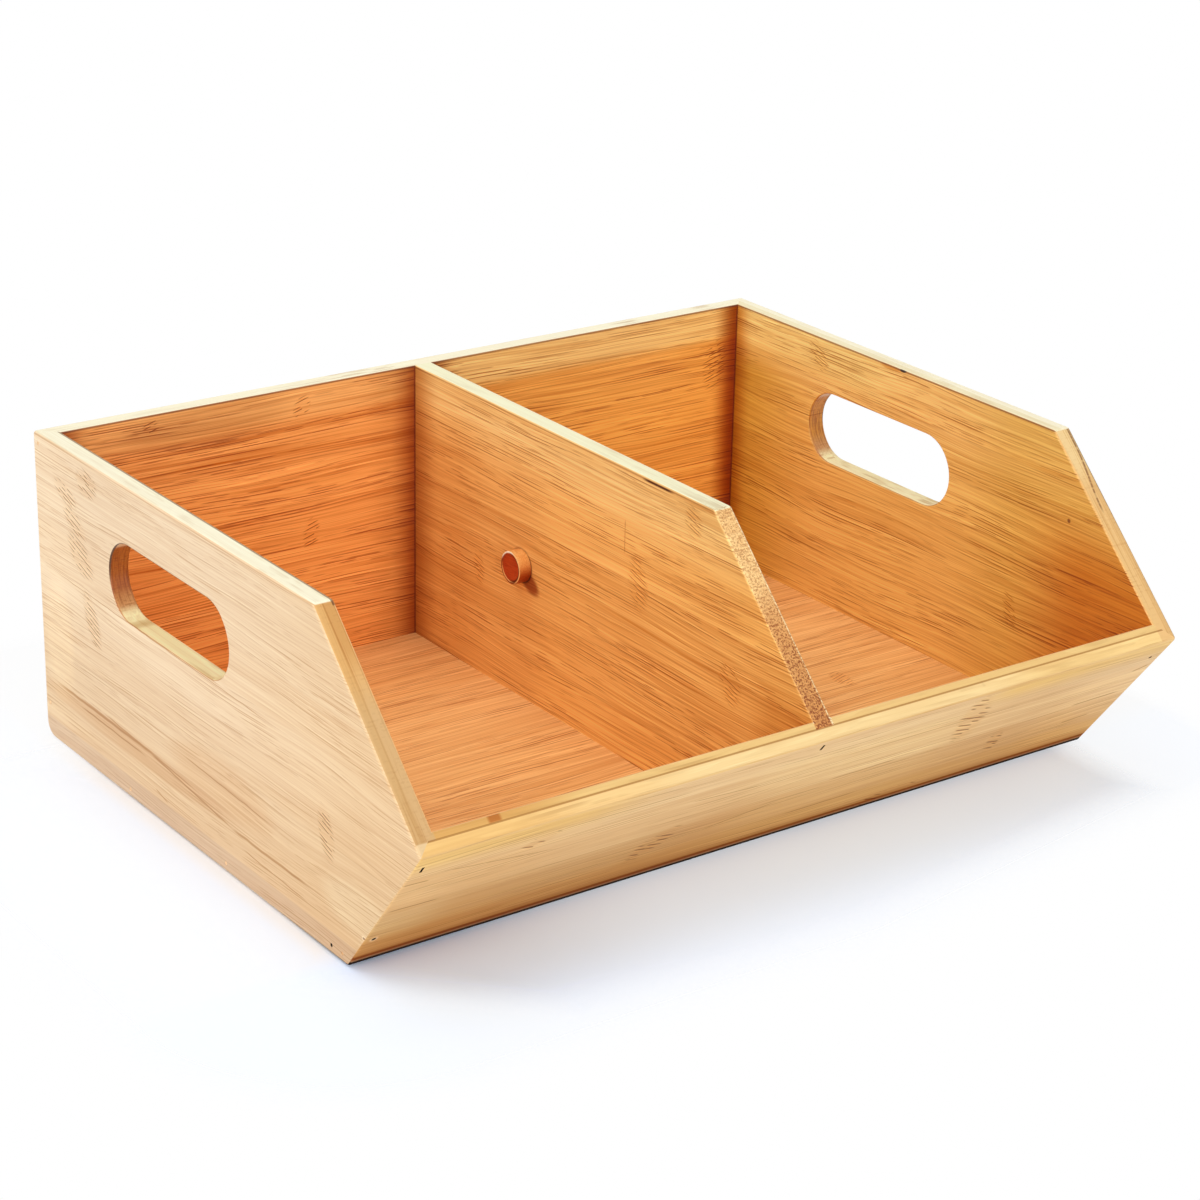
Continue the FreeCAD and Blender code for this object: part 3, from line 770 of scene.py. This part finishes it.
def colour_lip_face(wood):
    """The lip's outer face, with painted shade: darker and browner downwards, a dark band and a painted highlight low
    down, and a black line of painted contact shadow at its foot.
    """
    graph = wood.graph
    outside = wood.facing(-LIP_INWARD, 0.8)
    # Painted shade: darker and browner towards the foot, with a darker band low down
    wood.shade(
        outside,
        ((1.03, 1.08, 1.15), ("across", 24.0, 12.0)),
        ((0.86, 0.77, 0.66), ("across", 20.0, 65.0), ("x", 60.0, -60.0)),
        ((0.98, 0.95, 0.86), ("across", 42.0, 62.0)),
        ((0.96, 0.92, 0.84), ("across", 63.8, 64.6)),
        ((0.6, 0.36, 0.19), ("across", 72.0, 82.5)),
        ((1.02, 0.74, 0.42), ("across", 77.0, 81.5)),
        ((0.56, 0.46, 0.3), ("across", 78.0, 79.2), ("across", 81.0, 80.4)))
    # Painted highlight on the rounded foot, and a black line of painted contact shadow at the very foot
    wood.paint(wood.within(outside, ("across", 80.7, 81.3)), (168, 124, 88))
    wood.paint(graph.step(wood.across, LIP_DEPTH - 2.7, LIP_DEPTH - 2.2), (36, 20, 12))
    wood.rawness = graph.mul(wood.within(outside, ("across", 58.0, 80.0)), 0.45)
    ends = graph.most(graph.step(wood.x, -70.0, -125.0), graph.step(wood.x, 75.0, 105.0))
    wood.shade(
        outside,
        ((1.03, 1.1, 1.16), ("x", -30.0, -80.0), ("across", 36.0, 47.0), ("across", 68.0, 60.0)),
        ((1.03, 1.11, 1.22), ("x", -150.0, -172.0), ("across", 40.0, 50.0), ("across", 70.0, 62.0)))
    wood.shade(graph.mul(outside, ends), ((1.0, 0.93, 0.62), ("across", 17.0, 4.0)))
    wood.shade(outside, ((1.12, 1.14, 1.12), ("x", 130.0, 160.0), ("across", 12.0, 30.0)))
    pale_middle = graph.near(wood.x, 30.0, 80.0, 30.0)
    wood.shade(graph.mul(outside, pale_middle), ((1.07, 1.12, 1.12), ("across", 8.0, 16.0)))
    wood.shade(outside, ((0.98, 0.94, 0.88), ("x", -100.0, -150.0), ("across", 5.0, 20.0)))


def colour_lip_top(wood):
    """The lip's top edge, with its two plies, the glue line between them, and a painted highlight along the middle of
    the outer ply.
    """
    graph = wood.graph
    top = wood.facing(SLOPE_OUT, 0.85)
    wood.paint(top, (240, 200, 132))
    wood.set_strength(top, 0.5)
    wood.before_glue = graph.sub(BOARD - INNER_PLY, wood.deep)
    inner_ply = ("before_glue", 0.0, -0.4)
    outer_ply = ("before_glue", -0.2, 0.4)
    wood.shade(top, ((0.96, 0.95, 0.92), inner_ply))
    # Painted highlight along the middle of the outer ply
    middle = graph.near(wood.x, -15.0, 135.0, 95.0)
    wood.shade(graph.mul(top, middle), ((1.07, 1.16, 1.36), outer_ply))
    wood.shade(
        top,
        ((0.88, 0.74, 0.58), ("x", -100.0, -150.0), inner_ply),
        ((1.0, 0.93, 0.85), outer_ply, ("x", -60.0, -110.0)),
        ((1.1, 1.14, 1.18), outer_ply, ("x", 140.0, 165.0)))
    wood.darken(graph.mul(top, graph.near(wood.before_glue, 0.0, 0.5, 0.25)), 0.9)
    beside_left = wood.within(top, ("x", 0.4 - INNER_X, -0.4 - INNER_X), ("before_glue", 0.2, -0.2))
    wood.paint(beside_left, (216, 174, 118))
    wood.paint(wood.within(top, ("x", INNER_X + 0.4, INNER_X + 1.2)), (238, 192, 128))
    knot = wood.spots((-155.0, 0.0, 3.5, 9.0, 0.0))
    wood.shade(graph.mul(top, knot), ((0.72, 0.45, 0.3), ("before_glue", 0.0, -0.8)))


def build_front_lip():
    wood = Wood(
        "bamboo_front_lip", "x", LIP_DOWN, LIP_INWARD, seed=17.0, pitch=21.3, start=0.2, base=(233, 192, 137),
        strength=1.1)
    wood.specular = 0.2
    wood.fineness = 0.35
    wood.vein_strength = 0.6
    wood.knot_tint = (0.38, 0.2, 0.07, 1.0)
    wood.knot_strokes = {"pitch": 3.4, "length": 10.0, "half": 0.7, "low": 0.46, "high": 0.56}
    colour_lip_face(wood)
    wood.paint(wood.facing(LIP_INWARD, 0.8), (236, 178, 112))
    nose = wood.facing((0.0, -1.0, 0.06), 0.93)
    wood.paint(nose, (231, 188, 125))
    colour_lip_top(wood)
    wood.knot = wood.spots(
        (87.5, 22.0, 9.0, 25.0, 0.2), (70.0, 77.5, 17.0, 6.0, -2.0), (-61.5, 53.5, 9.0, 14.0, -0.5),
        (-131.0, 15.5, 7.5, 6.5, -0.8), (119.0, 54.0, 4.5, 12.0, 0.2))
    wood.lines((
        (-189.0, 42.1, -164.0, 43.3, 0.5), (-190.0, 21.0, -177.0, 22.2, 0.5), (178.8, 22.7, 187.5, 19.8, 0.7),
        (155.0, 41.2, 185.0, 40.3, 0.6), (160.0, 57.7, 177.6, 56.6, 0.5), (21.0, 42.4, 60.0, 41.9, 0.4),
        (-175.0, 17.3, -116.0, 29.0, 0.3), (-124.0, 10.8, -58.0, 12.2, 0.3), (-58.0, 22.5, -16.0, 26.6, 0.35),
        (-37.0, 54.7, 0.0, 48.4, 0.4), (9.0, 65.3, 51.0, 64.7, 0.4)), 0.9)
    # Left pin: a pale ring and a dot of painted shade in its hole, then painted shade on the walls of the holes over
    # the heads
    wood.paint(wood.disc(LIP_LEFT_PIN, 2.3), (238, 200, 152))
    wood.paint(wood.disc(LIP_LEFT_PIN, 1.25), PAINTED_HOLE_SHADE)
    wood.pockets((LIP_LEFT_PIN, LIP_RIGHT_PIN), PIN_HALF, wood.deep)
    wood.pockets(LIP_T_HEADS, T_HEAD_HALF, wood.deep)
    dress("front_lip", wood.finish((0.52, 0.38, 0.25, 1.0)))


def build_knob():
    """Turned knob: a disc painted red-brown as shade and reflected red light, a pale rim with a painted highlight above
    and painted shade below, and a groove line of painted shade.
    """
    material, graph, place, normal = new_material("bamboo_divider_knob")
    x, y, z = graph.parts(place)
    nx, _, nz = graph.parts(normal)
    out_y, out_z = graph.sub(y, KNOB.y), graph.sub(z, KNOB.z)
    radius = graph.length(out_y, out_z)
    grain = graph.noise(graph.vector(graph.mul(x, 1.6), graph.mul(y, 0.16), graph.mul(z, 1.6)), 3.0, 0.65)
    fine = graph.noise(graph.vector(graph.mul(x, 3.4), graph.mul(y, 0.5), graph.mul(z, 3.4)), 2.0, 0.6)
    grain_share = graph.step(grain, 0.35, 0.7)

    # Wood of the rim, with painted shade below and towards the divider
    colour = graph.mix(grain_share, linear(255, 204, 128), linear(240, 172, 96))
    colour = graph.mix(graph.step(nz, 0.75, -0.4), colour, (0.68, 0.37, 0.2, 1.0), "MULTIPLY")
    colour = graph.mix(graph.step(x, -15.0, -6.5), colour, (0.86, 0.66, 0.5, 1.0), "MULTIPLY")
    low = graph.mul(graph.step(nz, 0.4, -0.5), graph.step(x, -15.0, -9.0))
    colour = graph.mix(low, colour, (0.62, 0.36, 0.26, 1.0), "MULTIPLY")

    # Disc painted red-brown as shade and reflected red light, rim with a painted highlight above and painted shade low
    # down, and a groove line of painted shade
    disc = graph.mul(graph.step(radius, KNOB_DISC + 0.6, KNOB_DISC - 0.1), graph.step(nx, -0.6, -0.85))
    colour = graph.mix(disc, colour, graph.mix(grain_share, linear(192, 74, 30), linear(172, 54, 18)))
    rim = graph.mul(graph.step(radius, KNOB_DISC, KNOB_DISC + 0.6), graph.step(nx, -0.5, -0.85))
    colour = graph.mix(rim, colour, linear(250, 196, 128))
    rim_highlight = graph.step(graph.add(out_y, out_z), 3.0, 7.0)
    colour = graph.mix(graph.mul(rim, rim_highlight), colour, linear(255, 246, 226))
    rim_shade = graph.mul(
        graph.step(radius, KNOB_DISC - 0.2, KNOB_DISC + 0.4), graph.step(nx, -0.05, -0.3),
        graph.step(graph.sub(out_z, out_y), -1.0, -5.0))
    colour = graph.mix(rim_shade, colour, linear(146, 58, 28))
    # Groove line painted dark on one side, as shade
    groove = graph.mul(
        graph.near(radius, KNOB_DISC, 0.8, 0.35), graph.step(nx, -0.1, -0.5), graph.step(out_y, 2.0, -2.0))
    colour = graph.mix(graph.mul(groove, 0.9), colour, linear(88, 30, 10))
    colour = graph.mix(graph.mul(graph.step(fine, 0.55, 0.75), 0.5), colour, (0.6, 0.42, 0.3, 1.0), "MULTIPLY")
    roughness = graph.mul_add(grain, 0.25, 0.3)
    set_shader(material, colour, roughness, fine, relief=0.3, reach=0.0001, specular=0.25)
    dress("divider_knob", material)


def build_steel():
    """Dull dark steel of the front brads, and pale filler over the heads further back."""
    material, graph, place, _ = new_material("brad_steel")
    _, y, _ = graph.parts(place)
    bare = graph.step(y, -50.0, -60.0)
    spots = graph.noise(graph.scale(place, 1.3), 3.0, 0.65)
    scratches = graph.noise(graph.node(
        "ShaderNodeMapping", {"Vector": place, "Rotation": (0.0, 0.4, 0.7), "Scale": (9.0, 0.8, 9.0)}).outputs[0], 2.0)
    steel = graph.mix(graph.step(spots, 0.4, 0.65), linear(15, 10, 7), linear(28, 20, 15))
    steel = graph.mix(graph.step(scratches, 0.58, 0.72), steel, linear(50, 39, 30))
    filler = graph.mix(graph.step(spots, 0.35, 0.65), linear(252, 222, 184), linear(240, 204, 160))
    roughness = graph.step(spots, 0.3, 0.7, 0.62, 0.42)
    colour = graph.mix(bare, filler, steel)
    set_shader(material, colour, roughness, scratches, relief=0.3, reach=0.00005, specular=0.1)
    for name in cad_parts:
        if "brad" in name and "mitre" not in name:
            dress(name, material)


def build_filled_heads():
    """Pale filler over the heads of the brads through the mitres."""
    material, graph, place, _ = new_material("brad_filler")
    grit = graph.noise(graph.scale(place, 4.0), 2.0, 0.6)
    colour = graph.mix(graph.step(grit, 0.35, 0.65), linear(252, 214, 168), linear(226, 180, 130))
    set_shader(material, colour, graph.mul_add(grit, 0.2, 0.6), grit, relief=0.3, reach=0.00005)
    for name in ("left_mitre_pin_brad", "right_mitre_pin_brad"):
        dress(name, material)


build_end_panels()
build_back_panel()
build_divider()
build_floor_panel()
build_front_lip()
build_knob()
build_steel()
build_filled_heads()


def build_floor():
    """Floor, a wide pale sheet that keeps the bin's shadow and fades to the white round it."""
    reach = 6.0
    level = -0.0003
    mesh = bpy.data.meshes.new("studio_floor")
    mesh.from_pydata(
        [(-reach, -reach, level), (reach, -reach, level), (reach, reach, level), (-reach, reach, level)], [],
        [(0, 1, 2, 3)])
    floor = bpy.data.objects.new("studio_floor", mesh)
    scene.collection.objects.link(floor)
    material = bpy.data.materials.new("studio_floor")
    material.use_nodes = True
    material.node_tree.nodes.clear()
    graph = Graph(material.node_tree)
    clear = graph.node("ShaderNodeBsdfTransparent")
    place = graph.node("ShaderNodeTexCoord").outputs["Object"]
    x, y, _ = graph.parts(graph.scale(place, MM_PER_M))
    out_x = graph.most(graph.sub(graph.size(x), HALF_WIDTH), 0.0)
    out_y = graph.most(graph.sub(graph.away(y, FOOT_MIDDLE), FOOT_HALF_DEPTH), 0.0)
    away = graph.length(out_x, out_y)

    # Bluer colour in front of the bin and beside it, seen by the camera alone, which cancels the warm light bounced
    # onto the floor from the bin
    near = graph.mul(
        graph.step(away, 150.0, 40.0),
        graph.most(graph.step(y, -80.0, -104.0), graph.step(x, -192.0, -200.0, 0.0, 0.5)))
    colour = graph.mix(near, (0.96, 0.97, 1.0, 1.0), (0.86, 1.02, 1.3, 1.0))
    camera_only = graph.node("ShaderNodeLightPath").outputs["Is Camera Ray"]
    sheet = graph.node("ShaderNodeBsdfDiffuse", {"Color": graph.mix(camera_only, (0.92, 0.93, 0.95, 1.0), colour)})

    # The sheet clears away from the bin, to its sides and behind it
    fade = graph.most(
        graph.step(x, -180.0, -40.0, 0.05, 0.42),
        graph.step(graph.mul_add(graph.most(x, 0.0), 0.17, away), 35.0, 112.0),
        graph.step(graph.sub(out_y, x), 176.0, 226.0, 0.0, 0.72),
        graph.step(x, 148.0, 192.0, 0.0, 0.85),
        graph.step(y, 60.0, 160.0, 0.0, 0.85))
    both = graph.node("ShaderNodeMixShader", {
        0: graph.mul(fade, camera_only), 1: sheet.outputs[0], 2: clear.outputs[0]})
    graph.node("ShaderNodeOutputMaterial", {0: both.outputs[0]})
    mesh.materials.append(material)


build_floor()

WORLD_LEVEL = 0.36


def build_world():
    """Soft light from all round, and white to the camera and in reflections."""
    world = bpy.data.worlds.new("studio")
    scene.world = world
    world.use_nodes = True
    world.node_tree.nodes.clear()
    graph = Graph(world.node_tree)
    path = graph.node("ShaderNodeLightPath")
    seen = graph.most(path.outputs["Is Camera Ray"], path.outputs["Is Glossy Ray"], path.outputs["Is Transmission Ray"])
    light, white = (
        graph.node("ShaderNodeBackground", {"Color": (1.0, 1.0, 1.0, 1.0), "Strength": strength})
        for strength in (WORLD_LEVEL, 1.0))
    both = graph.node("ShaderNodeMixShader", {0: seen, 1: light.outputs[0], 2: white.outputs[0]})
    graph.node("ShaderNodeOutputWorld", {0: both.outputs[0]})


build_world()


def soft_box(name, towards, distance, size, level):
    """Square area light that gives a white surface facing it this level at the bin."""
    data = bpy.data.lights.new(name, "AREA")
    data.shape = "SQUARE"
    data.size = size
    data.energy = level * (math.pi * distance) ** 2
    light = bpy.data.objects.new(name, data)
    scene.collection.objects.link(light)
    direction = Vector(towards).normalized()
    light.location = direction * distance
    light.rotation_mode = "QUATERNION"
    light.rotation_quaternion = direction.to_track_quat("Z", "Y")


soft_box("soft_box_top", towards=(-0.12, 0.16, 1.0), distance=4.0, size=3.2, level=0.50)
soft_box("soft_box_left", towards=(-1.0, -0.45, 0.45), distance=4.0, size=3.4, level=0.37)
soft_box("soft_box_front", towards=(-0.2, -1.0, 0.22), distance=4.0, size=2.6, level=0.34)

# Camera, placed by fitting the bin's corners to their places in a picture of 1200 by 1200 pixels
IMAGE_SIZE = 1200
FOCAL_PIXELS = 3084.5595
AZIMUTH, ELEVATION, ROLL = (math.radians(angle) for angle in (-35.9795, 22.0008, 1.3078))
TARGET = Vector((0.0, 32.75, 60.0))
OFFSET_RIGHT, OFFSET_UP, DISTANCE = 17.5964, 2.2719, 1349.4689


def build_camera():
    back = Vector((
        math.sin(AZIMUTH) * math.cos(ELEVATION), -math.cos(AZIMUTH) * math.cos(ELEVATION), math.sin(ELEVATION)))
    level_right = Vector((math.cos(AZIMUTH), math.sin(AZIMUTH), 0.0))
    level_up = back.cross(level_right)
    right = math.cos(ROLL) * level_right + math.sin(ROLL) * level_up
    up = -math.sin(ROLL) * level_right + math.cos(ROLL) * level_up
    data = bpy.data.cameras.new("camera")
    data.sensor_width = 36.0
    data.lens = FOCAL_PIXELS / IMAGE_SIZE * data.sensor_width
    data.clip_start = 0.01
    data.clip_end = 100.0
    camera = bpy.data.objects.new("camera", data)
    scene.collection.objects.link(camera)
    place = TARGET + right * OFFSET_RIGHT + up * OFFSET_UP + back * DISTANCE
    turn = Matrix((right, up, back)).transposed().to_4x4()
    camera.matrix_world = Matrix.Translation(place / MM_PER_M) @ turn
    scene.camera = camera


build_camera()
